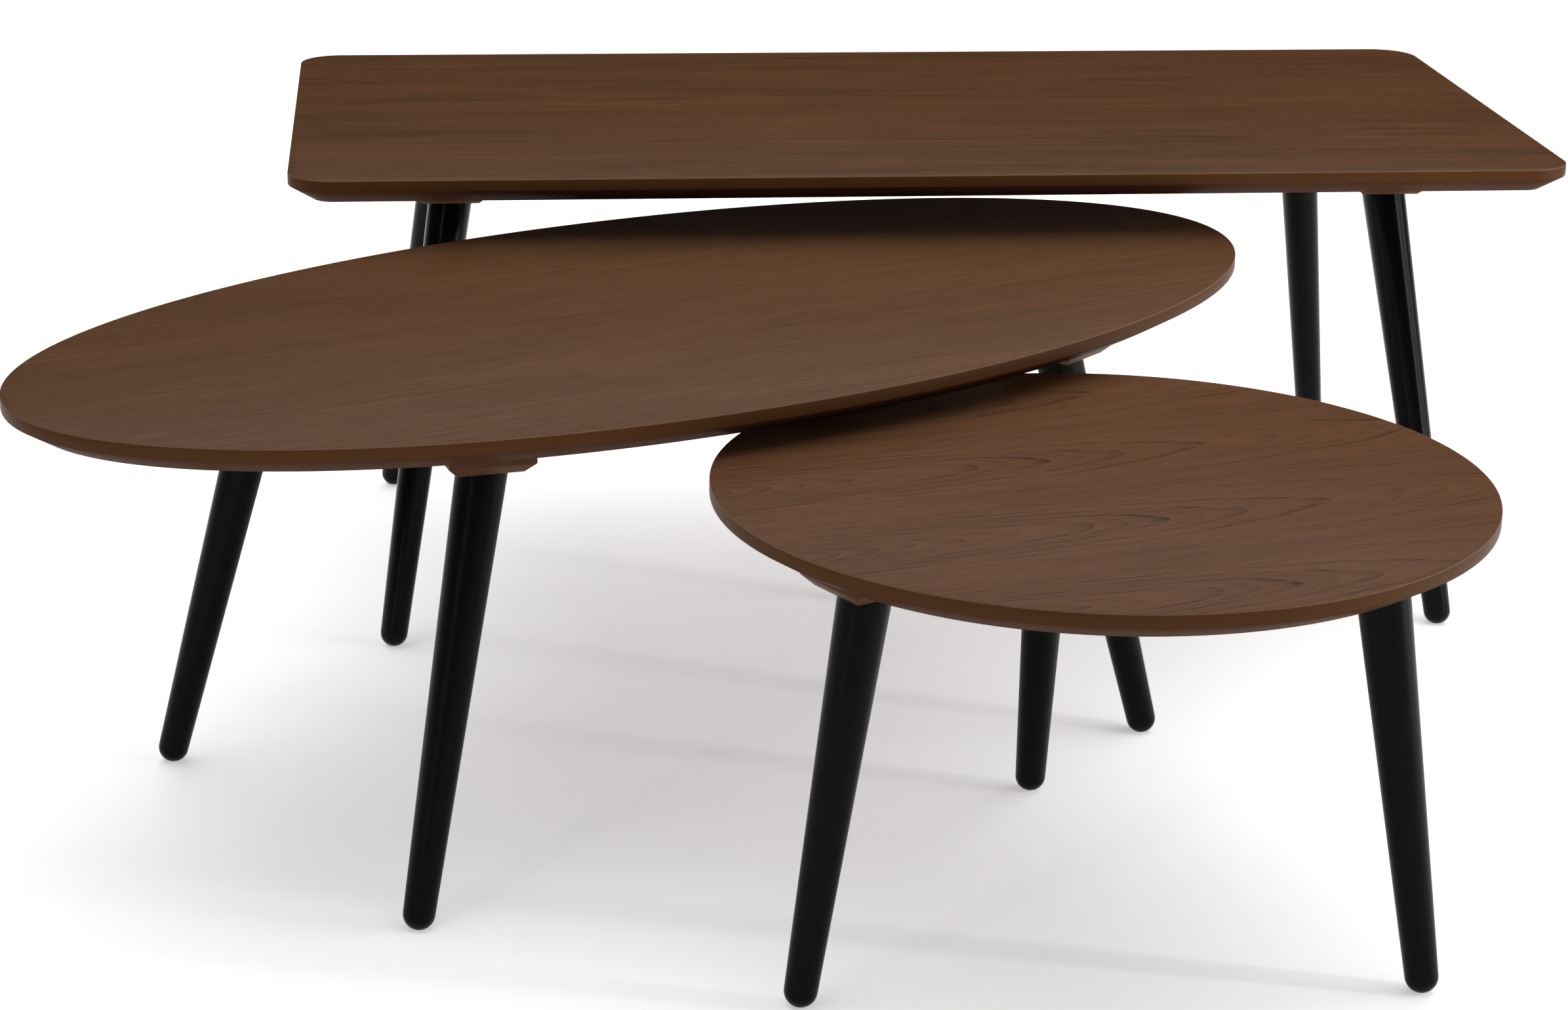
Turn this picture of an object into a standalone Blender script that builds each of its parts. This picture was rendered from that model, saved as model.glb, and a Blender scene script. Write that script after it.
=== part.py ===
"""Three nesting coffee tables: a rectangular, an oval and a round one.

Each table is a bevelled board, with square mounting blocks screwed to its
underside and a tapered, splayed leg bolted to each block.  The oval table
tucks under the rectangular one, and the round table under the oval one.
All sizes are in metres, +Z is up and the tables stand on z = 0.  The origin
is the middle of the set's outline on the floor, and +X runs along the
rectangular top.
"""

import math

import bmesh
import bpy
from mathutils import Matrix, Vector

# Boards
RECT_LENGTH = 1.300
RECT_WIDTH = 0.650
RECT_CORNER_RADIUS = 0.045
OVAL_LENGTH = 1.300
OVAL_WIDTH = 0.650
ROUND_DIAMETER = 0.650
BOARD_THICKNESS = 0.027
BEVEL_HEIGHT = 0.015        # how far the slanted underside rises towards the edge
BEVEL_WIDTH = 0.025         # how far it runs in from the edge
ARRIS = 0.0012              # small chamfer around the upper edge

# Heights: only the tallest is free, the others follow by what nests below
RECT_HEIGHT = 0.504
OVAL_BLOCK_CLEARANCE = 0.017    # from the rectangular table's blocks down to the oval top
ROUND_BOARD_CLEARANCE = 0.012   # from the oval board down to the round top

# Mounting blocks
BLOCK_SIZE = 0.076
BLOCK_THICKNESS = 0.022
BLOCK_CHAMFER = 0.009
OVAL_BLOCK_TURN = math.radians(17.0)    # how far each oval block turns to follow the rim

# Legs: where each block's centre lies inside the rim, and how far the foot stands out from it
RECT_BLOCK_INSET = (0.162, 0.137)
RECT_FOOT_SPREAD = (0.068, 0.090)
OVAL_BLOCK_INSET = (0.333, 0.135)
OVAL_FOOT_SPREAD = (0.095, 0.040)
ROUND_BLOCK_INSET = 0.084
ROUND_FOOT_SPREAD = 0.059
ROUND_FIRST_LEG = math.radians(209.0)
LEG_TOP_DIAMETER = 0.0445
LEG_FOOT_DIAMETER = 0.0280
LEG_TIP_FLAT = 0.0080       # diameter of the level spot that a foot stands on

# Hardware
BOLT_DIAMETER = 0.0080
BOLT_IN_LEG = 0.045
BOLT_TIP = 0.006
BOLT_END_MARGIN = 0.003     # from the bolt's upper end to the board
INSERT_WALL = 0.0020
INSERT_RECESS = 0.0035      # from the block's lower face up to the insert, along the bolt
INSERT_END_MARGIN = 0.0042  # from the insert's upper end to the block's upper face
SCREW_PITCH = 0.046         # square on which the four block screws stand
SCREW_SHANK = 0.0045
SCREW_HEAD = 0.0085
SCREW_HEAD_DEPTH = 0.0022
PILOT_DIAMETER = 0.0034
PILOT_DEPTH = 0.013

# Fits
GAP = 0.0003                # between faces that meet and around what is fastened

# Layout: how the tables stand to each other, seen from above
OVAL_TURN = math.radians(30.1)
OVAL_SHIFT = -0.294         # from the rectangular table's middle, along its length
OVAL_TUCK = 0.185           # how far the oval's rim reaches under the rectangular front edge
ROUND_SHIFT = 0.070         # from the oval table's middle, along its length
ROUND_TUCK = 0.111          # how far the round rim reaches under the oval's front rim

# Facets
OVAL_SEGMENTS = 96
ROUND_SEGMENTS = 72
CORNER_SEGMENTS = 8
LEG_SEGMENTS = 20
TIP_RINGS = 4
BOLT_SEGMENTS = 10
BORE_SEGMENTS = 12
SCREW_SEGMENTS = 8

OVAL_HEIGHT = RECT_HEIGHT - BOARD_THICKNESS - BLOCK_THICKNESS - OVAL_BLOCK_CLEARANCE
ROUND_HEIGHT = OVAL_HEIGHT - BOARD_THICKNESS - ROUND_BOARD_CLEARANCE


def remove_everything():
    """Empty the file's scene."""
    for item in list(bpy.data.objects):
        bpy.data.objects.remove(item, do_unlink=True)


def make_material(name, colour, roughness, metallic=0.0):
    """Return a Principled material."""
    material = bpy.data.materials.new(name)
    material.use_nodes = True
    shader = material.node_tree.nodes["Principled BSDF"]
    shader.inputs["Base Color"].default_value = (*colour, 1.0)
    shader.inputs["Roughness"].default_value = roughness
    shader.inputs["Metallic"].default_value = metallic
    material.diffuse_color = (*colour, 1.0)
    return material


def make_empty(name, location, turn):
    """Return an empty that carries one table."""
    empty = bpy.data.objects.new(name, None)
    empty.location = location
    empty.rotation_euler = (0.0, 0.0, turn)
    bpy.context.scene.collection.objects.link(empty)
    return empty


def make_object(name, form, material, parent, location=(0, 0, 0), turn=None, smooth=False):
    """Turn a bmesh into a named object under a table's empty."""
    bmesh.ops.recalc_face_normals(form, faces=form.faces)
    mesh = bpy.data.meshes.new(name)
    form.to_mesh(mesh)
    form.free()
    if smooth:
        mesh.shade_smooth()
        mesh.set_sharp_from_angle(angle=math.radians(35.0))
    item = bpy.data.objects.new(name, mesh)
    if material:
        mesh.materials.append(material)
    item.parent = parent
    item.location = location
    if turn:
        item.rotation_mode = "QUATERNION"
        item.rotation_quaternion = turn
    bpy.context.scene.collection.objects.link(item)
    return item


def cut(item, cutter):
    """Subtract a hidden cutter from an object."""
    cutter.hide_render = True
    cutter.display_type = "WIRE"
    modifier = item.modifiers.new(cutter.name, "BOOLEAN")
    modifier.operation = "DIFFERENCE"
    modifier.solver = "EXACT"
    modifier.object = cutter


def add_turned(form, profile, segments, matrix=None):
    """Spin a profile of (radius, height) points about Z into a closed solid.

    The profile starts and ends on the axis, or joins its ends when it doesn't.
    """
    corners = [form.verts.new((radius, 0.0, height)) for radius, height in profile]
    edges = [form.edges.new(pair) for pair in zip(corners, corners[1:])]
    if profile[0][0] > 0.0:
        edges.append(form.edges.new((corners[-1], corners[0])))
    before = set(form.verts) - set(corners)
    bmesh.ops.spin(
        form, geom=corners + edges, angle=math.tau, steps=segments, axis=(0, 0, 1), use_merge=True
    )
    made = [vert for vert in form.verts if vert not in before]
    bmesh.ops.remove_doubles(form, verts=made, dist=0.000001)
    made = [vert for vert in form.verts if vert not in before]
    if matrix:
        bmesh.ops.transform(form, matrix=matrix, verts=made)


def ellipse_outline(length, width, segments):
    """Return the points of an ellipse, or a circle."""
    steps = [math.tau * index / segments for index in range(segments)]
    return [(length / 2 * math.cos(step), width / 2 * math.sin(step)) for step in steps]


def rectangle_outline(length, width, radius, segments):
    """Return the points of a rectangle with round corners."""
    points = []
    for quarter in range(4):
        sign_x = 1 if quarter in (0, 3) else -1
        sign_y = 1 if quarter in (0, 1) else -1
        centre = (sign_x * (length / 2 - radius), sign_y * (width / 2 - radius))
        for index in range(segments + 1):
            angle = math.pi / 2 * (quarter + index / segments)
            points.append((centre[0] + radius * math.cos(angle), centre[1] + radius * math.sin(angle)))
    return points


def board_form(outline):
    """Return a board: level on top at z = 0, slanted in below its edge."""
    form = bmesh.new()
    straight = BOARD_THICKNESS - BEVEL_HEIGHT
    lower = form.faces.new([form.verts.new((x, y, -straight)) for x, y in outline])
    raised = bmesh.ops.extrude_face_region(form, geom=[lower])["geom"]
    upper_verts = [item for item in raised if isinstance(item, bmesh.types.BMVert)]
    upper = next(item for item in raised if isinstance(item, bmesh.types.BMFace))
    bmesh.ops.translate(form, verts=upper_verts, vec=(0.0, 0.0, straight - ARRIS))
    lower = min(form.faces, key=lambda face: face.calc_center_median().z)
    bmesh.ops.recalc_face_normals(form, faces=form.faces)
    bmesh.ops.inset_region(
        form, faces=[upper], thickness=ARRIS, depth=ARRIS, use_even_offset=True
    )
    bmesh.ops.inset_region(
        form, faces=[lower], thickness=BEVEL_WIDTH, depth=BEVEL_HEIGHT, use_even_offset=True
    )
    return form


def block_form():
    """Return a mounting block: top face at z = 0, all four lower edges chamfered."""
    form = bmesh.new()
    size = (BLOCK_SIZE, BLOCK_SIZE, BLOCK_THICKNESS)
    bmesh.ops.create_cube(form, size=1.0, matrix=Matrix.Diagonal((*size, 1.0)))
    bmesh.ops.translate(form, verts=form.verts, vec=(0.0, 0.0, -BLOCK_THICKNESS / 2))
    floor = min(form.faces, key=lambda face: face.calc_center_median().z)
    bmesh.ops.bevel(
        form, geom=list(floor.edges), offset=BLOCK_CHAMFER, offset_type="OFFSET",
        affect="EDGES", segments=1, profile=0.5, material=-1,
    )
    return form


def screw_places():
    """Return the four screw centres of a block, about its own middle."""
    half = SCREW_PITCH / 2
    return [(x, y) for x in (-half, half) for y in (-half, half)]


def leg_turn(spread, drop):
    """Return the rotation that leans a leg so that its foot stands out by spread over drop."""
    axis = Vector((-spread[0], -spread[1], drop)).normalized()
    return Vector((0.0, 0.0, 1.0)).rotation_difference(axis)


def block_bore_form(turn):
    """Return a block's cutter: the leaning insert bore and four countersunk screw holes."""
    form = bmesh.new()
    radius = BOLT_DIAMETER / 2 + GAP + INSERT_WALL + GAP
    reach = BLOCK_THICKNESS * 1.5
    bore = [(0.0, -reach / 2), (radius, -reach / 2), (radius, reach), (0.0, reach)]
    add_turned(form, bore, BORE_SEGMENTS, turn.to_matrix().to_4x4())
    head, shank = SCREW_HEAD / 2, SCREW_SHANK / 2
    over = 0.001
    screw = [
        (0.0, -over), (head, -over), (head, 0.0), (shank, SCREW_HEAD_DEPTH),
        (shank, BLOCK_THICKNESS + over), (0.0, BLOCK_THICKNESS + over),
    ]
    for x, y in screw_places():
        add_turned(form, screw, SCREW_SEGMENTS, Matrix.Translation((x, y, 0.0)))
    return form


def pilot_form(places):
    """Return a board's cutter: the blind pilot holes of all its blocks."""
    form = bmesh.new()
    radius = PILOT_DIAMETER / 2
    hole = [(0.0, -0.001), (radius, -0.001), (radius, PILOT_DEPTH), (0.0, PILOT_DEPTH + radius)]
    for x, y, block_turn in places:
        around = Matrix.Translation((x, y, 0.0)) @ Matrix.Rotation(block_turn, 4, "Z")
        for screw_x, screw_y in screw_places():
            add_turned(form, hole, SCREW_SEGMENTS, around @ Matrix.Translation((screw_x, screw_y, 0.0)))
    return form


def leg_form(turn, drop):
    """Return a leg along +Z with its seat's centre at the origin, cut level at seat and foot.

    The round tip is a ball that the floor plane trims to a small flat, and a
    blind bore takes the bolt.
    """
    form = bmesh.new()
    up = turn.inverted() @ Vector((0.0, 0.0, 1.0))
    top_radius, foot_radius = LEG_TOP_DIAMETER / 2, LEG_FOOT_DIAMETER / 2
    spare = top_radius * math.tan(math.acos(up.z)) + GAP
    bore_radius = BOLT_DIAMETER / 2 + GAP
    flat = LEG_TIP_FLAT / 2
    ball_sink = math.sqrt(foot_radius ** 2 - flat ** 2)
    ball_centre = -(drop - ball_sink) / up.z
    taper = (top_radius - foot_radius) / -ball_centre
    profile = [(0.0, -(BOLT_IN_LEG + GAP + bore_radius / 2)), (bore_radius, -(BOLT_IN_LEG + GAP))]
    profile.append((bore_radius, spare))
    profile.append((top_radius + taper * spare, spare))
    for ring in range(TIP_RINGS):
        angle = math.pi / 2 * ring / TIP_RINGS
        profile.append((foot_radius * math.cos(angle), ball_centre - foot_radius * math.sin(angle)))
    profile.append((0.0, ball_centre - foot_radius))
    add_turned(form, profile, LEG_SEGMENTS)
    seat = Vector((0.0, 0.0, 0.0)) - up * GAP
    level_cut(form, seat, up)
    level_cut(form, -up * drop, -up)
    return form


def level_cut(form, point, normal):
    """Slice a closed form by a plane and close it with flat caps."""
    sliced = bmesh.ops.bisect_plane(
        form, geom=form.verts[:] + form.edges[:] + form.faces[:], dist=0.0000001,
        plane_co=point, plane_no=normal, clear_outer=True,
    )
    rim = [item for item in sliced["geom_cut"] if isinstance(item, bmesh.types.BMEdge)]
    open_rim = [edge for edge in rim if edge.is_boundary]
    loops = count_loops(open_rim)
    if loops == 2:
        bmesh.ops.bridge_loops(form, edges=open_rim)
    else:
        bmesh.ops.contextual_create(form, geom=open_rim)


def count_loops(edges):
    """Return how many separate closed loops the edges form."""
    left = set(edges)
    loops = 0
    while left:
        loops += 1
        reach = [left.pop()]
        while reach:
            edge = reach.pop()
            for vert in edge.verts:
                for other in vert.link_edges:
                    if other in left:
                        left.remove(other)
                        reach.append(other)
    return loops


def bolt_form(block_reach):
    """Return a double-ended bolt along +Z: pointed in the leg, plain in the insert."""
    form = bmesh.new()
    radius = BOLT_DIAMETER / 2
    core = radius * 0.8
    top = block_reach - BOLT_END_MARGIN
    profile = [
        (0.0, -BOLT_IN_LEG), (core * 0.3, -BOLT_IN_LEG), (core, -BOLT_IN_LEG + BOLT_TIP),
        (core, -radius), (radius, -radius * 0.6), (radius, top - radius * 0.3),
        (radius * 0.8, top), (0.0, top),
    ]
    add_turned(form, profile, BOLT_SEGMENTS)
    return form


def insert_form(block_reach):
    """Return a threaded insert's sleeve along +Z, kept inside the block's two faces."""
    form = bmesh.new()
    inner = BOLT_DIAMETER / 2 + GAP
    outer = inner + INSERT_WALL
    low, high = INSERT_RECESS, block_reach - INSERT_END_MARGIN
    add_turned(form, [(inner, low), (outer, low), (outer, high), (inner, high)], BORE_SEGMENTS)
    return form


def add_table(label, outline, height, stand, legs, finishes):
    """Build one table under its empty.

    stand is the table's centre on the floor and its turn.  legs lists, for
    each leg, its name, its block's centre, the block's turn and the foot's
    spread, all in the table's own frame.
    """
    empty = make_empty(f"{label}_table", (stand[0], stand[1], 0.0), stand[2])
    board_floor = height - BOARD_THICKNESS
    top = make_object(f"{label}_top", board_form(outline), finishes["walnut"], empty, (0, 0, height))
    pilots = make_object(
        f"{label}_pilot_cutter", pilot_form([(x, y, turn) for _, (x, y), turn, _ in legs]), None,
        empty, (0, 0, board_floor),
    )
    cut(top, pilots)
    block_roof = board_floor - GAP
    seat_height = block_roof - BLOCK_THICKNESS
    for place, centre, block_turn, spread in legs:
        name = f"{label}_{{}}_{place}".format
        leg_rotation = leg_turn(spread, seat_height)
        about = Matrix.Rotation(block_turn, 4, "Z").to_quaternion()
        in_block = about.inverted() @ leg_rotation
        block = make_object(
            name("block"), block_form(), finishes["block"], empty, (*centre, block_roof), about
        )
        bores = make_object(
            name("bore_cutter"), block_bore_form(in_block), None, empty, (*centre, seat_height), about
        )
        cut(block, bores)
        seat = (*centre, seat_height)
        lean = (leg_rotation @ Vector((0.0, 0.0, 1.0))).z
        make_object(
            name("leg"), leg_form(leg_rotation, seat_height), finishes["lacquer"], empty, seat,
            leg_rotation, smooth=True,
        )
        block_reach = BLOCK_THICKNESS / lean
        make_object(
            name("bolt"), bolt_form(block_reach), finishes["steel"], empty, seat, leg_rotation,
            smooth=True,
        )
        make_object(
            name("insert"), insert_form(block_reach), finishes["brass"], empty, seat, leg_rotation,
            smooth=True,
        )


def corner_legs(length, width, inset, spread, block_turn):
    """Return the four legs of a table that has one near each corner."""
    legs = []
    for side_y, row in ((-1, "front"), (1, "rear")):
        for side_x, side in ((-1, "left"), (1, "right")):
            centre = (side_x * (length / 2 - inset[0]), side_y * (width / 2 - inset[1]))
            out = (side_x * spread[0], side_y * spread[1])
            legs.append((f"{row}_{side}", centre, -side_x * side_y * block_turn, out))
    return legs


def ring_legs():
    """Return the round table's three legs, a third of a turn apart."""
    radius = ROUND_DIAMETER / 2 - ROUND_BLOCK_INSET
    legs = []
    for index, place in enumerate(("left", "right", "rear")):
        angle = ROUND_FIRST_LEG + index * math.tau / 3
        outward = Vector((math.cos(angle), math.sin(angle)))
        legs.append((place, tuple(outward * radius), angle, tuple(outward * ROUND_FOOT_SPREAD)))
    return legs


def stand_of_tables():
    """Return where each table stands and its turn, with the set's outline centred on the origin."""
    cos, sin = math.cos(OVAL_TURN), math.sin(OVAL_TURN)
    half_long, half_short = OVAL_LENGTH / 2, OVAL_WIDTH / 2
    reach_x = math.hypot(half_long * cos, half_short * sin)
    reach_y = math.hypot(half_long * sin, half_short * cos)
    oval = Vector((OVAL_SHIFT, -RECT_WIDTH / 2 + OVAL_TUCK - reach_y))
    rim = half_short * math.sqrt(1.0 - (ROUND_SHIFT / half_long) ** 2)
    radius = ROUND_DIAMETER / 2
    away = Vector((ROUND_SHIFT, -(rim + radius - ROUND_TUCK)))
    circle = oval + Vector((cos * away.x - sin * away.y, sin * away.x + cos * away.y))
    low = Vector((
        min(-RECT_LENGTH / 2, oval.x - reach_x, circle.x - radius),
        min(-RECT_WIDTH / 2, oval.y - reach_y, circle.y - radius),
    ))
    high = Vector((
        max(RECT_LENGTH / 2, oval.x + reach_x, circle.x + radius),
        max(RECT_WIDTH / 2, oval.y + reach_y, circle.y + radius),
    ))
    middle = (low + high) / 2
    return (
        (-middle.x, -middle.y, 0.0),
        (oval.x - middle.x, oval.y - middle.y, OVAL_TURN),
        (circle.x - middle.x, circle.y - middle.y, 0.0),
    )


def main():
    """Build the three tables."""
    remove_everything()
    finishes = {
        "walnut": make_material("walnut_veneer", (0.13, 0.060, 0.033), 0.45),
        "block": make_material("stained_block", (0.075, 0.036, 0.021), 0.5),
        "lacquer": make_material("black_lacquer", (0.006, 0.006, 0.007), 0.35),
        "steel": make_material("zinc_steel", (0.55, 0.55, 0.56), 0.35, 1.0),
        "brass": make_material("yellow_zinc", (0.62, 0.50, 0.25), 0.4, 1.0),
    }
    rect_stand, oval_stand, round_stand = stand_of_tables()
    add_table(
        "rectangular", rectangle_outline(RECT_LENGTH, RECT_WIDTH, RECT_CORNER_RADIUS, CORNER_SEGMENTS),
        RECT_HEIGHT, rect_stand,
        corner_legs(RECT_LENGTH, RECT_WIDTH, RECT_BLOCK_INSET, RECT_FOOT_SPREAD, 0.0), finishes,
    )
    add_table(
        "oval", ellipse_outline(OVAL_LENGTH, OVAL_WIDTH, OVAL_SEGMENTS), OVAL_HEIGHT, oval_stand,
        corner_legs(OVAL_LENGTH, OVAL_WIDTH, OVAL_BLOCK_INSET, OVAL_FOOT_SPREAD, OVAL_BLOCK_TURN),
        finishes,
    )
    add_table(
        "round", ellipse_outline(ROUND_DIAMETER, ROUND_DIAMETER, ROUND_SEGMENTS), ROUND_HEIGHT,
        round_stand, ring_legs(), finishes,
    )


main()
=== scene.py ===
"""Looks of three nesting tables: veneered boards on black tapered legs.

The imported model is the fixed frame.  Every board, block and leg is modelled
again here with soft edges and a finish of its own, and stands exactly where
its solid stands.  All sizes are in metres unless a name says otherwise.
"""

import logging
import math
from dataclasses import dataclass, field
from enum import Enum, IntEnum

import bmesh
import bpy
from mathutils import Matrix, Vector


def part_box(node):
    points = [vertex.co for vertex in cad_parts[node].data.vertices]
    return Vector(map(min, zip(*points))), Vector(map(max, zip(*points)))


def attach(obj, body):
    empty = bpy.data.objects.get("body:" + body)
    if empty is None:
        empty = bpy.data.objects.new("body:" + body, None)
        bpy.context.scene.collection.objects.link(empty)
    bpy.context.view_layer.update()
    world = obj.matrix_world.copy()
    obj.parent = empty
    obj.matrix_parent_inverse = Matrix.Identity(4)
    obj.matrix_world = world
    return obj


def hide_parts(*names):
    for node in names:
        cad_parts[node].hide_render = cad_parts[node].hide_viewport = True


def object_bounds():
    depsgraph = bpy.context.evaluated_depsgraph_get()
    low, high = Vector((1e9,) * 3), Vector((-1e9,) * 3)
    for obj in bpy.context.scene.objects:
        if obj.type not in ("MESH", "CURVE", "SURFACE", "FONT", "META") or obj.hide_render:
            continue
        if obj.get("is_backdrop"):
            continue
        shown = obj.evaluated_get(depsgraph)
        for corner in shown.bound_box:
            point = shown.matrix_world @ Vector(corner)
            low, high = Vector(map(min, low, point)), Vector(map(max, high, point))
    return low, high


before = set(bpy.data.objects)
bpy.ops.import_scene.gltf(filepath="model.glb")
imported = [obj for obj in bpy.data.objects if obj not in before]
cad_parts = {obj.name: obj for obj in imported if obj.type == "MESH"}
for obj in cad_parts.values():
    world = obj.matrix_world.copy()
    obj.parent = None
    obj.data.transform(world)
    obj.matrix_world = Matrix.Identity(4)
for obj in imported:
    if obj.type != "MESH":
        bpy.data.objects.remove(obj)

LOG = logging.getLogger("nesting_tables")
MM = 0.001
RELIEF = 0.1 * MM  # the height that the full range of a relief pattern stands for
TOUCHING = 0.01 * MM  # points closer than this in height lie on one level
MERGING = 0.001 * MM  # points closer than this become one
DRILL_STEPS = 24
WHITE = (1.0, 1.0, 1.0, 1.0)


# ---------------------------------------------------------------- colours and nodes


def linear(hex_colour: str) -> tuple[float, float, float, float]:
    """Turn an sRGB hex colour into a linear one.

    Args:
        hex_colour: Six hex digits after a hash sign.

    Returns:
        Red, green, blue and an alpha of 1.
    """
    channels = [int(hex_colour[start:start + 2], 16) / 255 for start in (1, 3, 5)]
    red, green, blue = (
        value / 12.92 if value <= 0.04045 else ((value + 0.055) / 1.055) ** 2.4 for value in channels
    )
    return (red, green, blue, 1.0)


def add_node(tree: bpy.types.NodeTree, kind: str, settings: dict | None = None,
             inputs: dict | None = None) -> bpy.types.Node:
    """Add a node with its settings and links.

    Args:
        tree: The node tree that takes the node.
        kind: The node's type name.
        settings: Property names and their values.
        inputs: Input names or numbers, each with a value or the socket that feeds it.

    Returns:
        The new node.
    """
    node = tree.nodes.new(kind)
    for name, value in (settings or {}).items():
        setattr(node, name, value)
    for key, value in (inputs or {}).items():
        if isinstance(value, bpy.types.NodeSocket):
            tree.links.new(value, node.inputs[key])
        else:
            node.inputs[key].default_value = value
    return node


def reckon(tree: bpy.types.NodeTree, operation: str,
           *terms: float | bpy.types.NodeSocket) -> bpy.types.NodeSocket:
    """Add one sum to a tree.

    Args:
        tree: The node tree.
        operation: The maths node's operation.
        terms: Its inputs, as numbers or sockets.

    Returns:
        The socket that holds the result.
    """
    node = add_node(tree, "ShaderNodeMath", {"operation": operation}, dict(enumerate(terms)))
    return node.outputs[0]


def blend_colours(tree: bpy.types.NodeTree, share: bpy.types.NodeSocket,
                  first: tuple | bpy.types.NodeSocket, second: tuple) -> bpy.types.NodeSocket:
    """Blend two colours.

    Args:
        tree: The node tree.
        share: How much of the second colour shows.
        first: The colour underneath.
        second: The colour laid over it.

    Returns:
        The socket that holds the blend.
    """
    node = add_node(tree, "ShaderNodeMix", {"data_type": "RGBA"}, {0: share, 6: first, 7: second})
    return node.outputs[2]


def remap(tree: bpy.types.NodeTree, value: bpy.types.NodeSocket, span: tuple[float, float],
          result: tuple[float, float], smooth: bool = False) -> bpy.types.NodeSocket:
    """Stretch a span of values onto another and hold what lies outside at its ends.

    Args:
        tree: The node tree.
        value: The socket that holds the value.
        span: The values that become the ends.
        result: The ends.
        smooth: Whether the change starts and stops gently.

    Returns:
        The socket that holds the result.
    """
    node = add_node(
        tree, "ShaderNodeMapRange", {"interpolation_type": "SMOOTHSTEP" if smooth else "LINEAR"},
        {"Value": value, "From Min": span[0], "From Max": span[1], "To Min": result[0], "To Max": result[1]},
    )
    return node.outputs[0]


def repeats(size_mm: float) -> float:
    """Turn the size of a pattern's marks in millimetres into the noise's scale, in marks a metre."""
    return 1.0 / (size_mm * MM)


def fine_noise(tree: bpy.types.NodeTree, size_mm: float, detail: float,
               roughness: float) -> bpy.types.NodeSocket:
    """Add noise that is alike in all directions.

    Args:
        tree: The node tree.
        size_mm: The size of its coarsest marks in millimetres.
        detail: How many times it is refined.
        roughness: How much each finer step counts.

    Returns:
        The socket that holds it.
    """
    place = add_node(tree, "ShaderNodeTexCoord").outputs["Object"]
    noise = add_node(tree, "ShaderNodeTexNoise", None, {
        "Vector": place, "Scale": repeats(size_mm), "Detail": detail, "Roughness": roughness,
    })
    return noise.outputs["Fac"]


def add_relief(tree: bpy.types.NodeTree, shader: bpy.types.Node, strength: float,
               height: bpy.types.NodeSocket) -> None:
    """Give a shader a shallow relief.

    Args:
        tree: The material's node tree.
        shader: Its shader.
        strength: How much of the relief shows.
        height: The socket that holds the pattern.
    """
    bump = add_node(tree, "ShaderNodeBump", None, {
        "Strength": strength, "Distance": RELIEF, "Height": height,
    })
    tree.links.new(bump.outputs["Normal"], shader.inputs["Normal"])


def start_material(name: str) -> tuple[bpy.types.Material, bpy.types.NodeTree, bpy.types.Node]:
    """Start a Principled material.

    Args:
        name: The finish's name.

    Returns:
        The material, its node tree and its shader.
    """
    material = bpy.data.materials.new(name)
    material.use_nodes = True
    tree = material.node_tree
    return material, tree, tree.nodes["Principled BSDF"]


# ---------------------------------------------------------------- finishes


class Figure(Enum):
    """How a veneer was cut from the log."""

    QUARTER_CUT = "straight lines"
    FLAT_CUT = "pointed arches"


@dataclass(frozen=True)
class Marks:
    """A pattern of marks drawn out along the grain, and how far its noise is refined."""

    length_mm: float
    width_mm: float
    detail: float = 2.0
    roughness: float = 0.5


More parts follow.
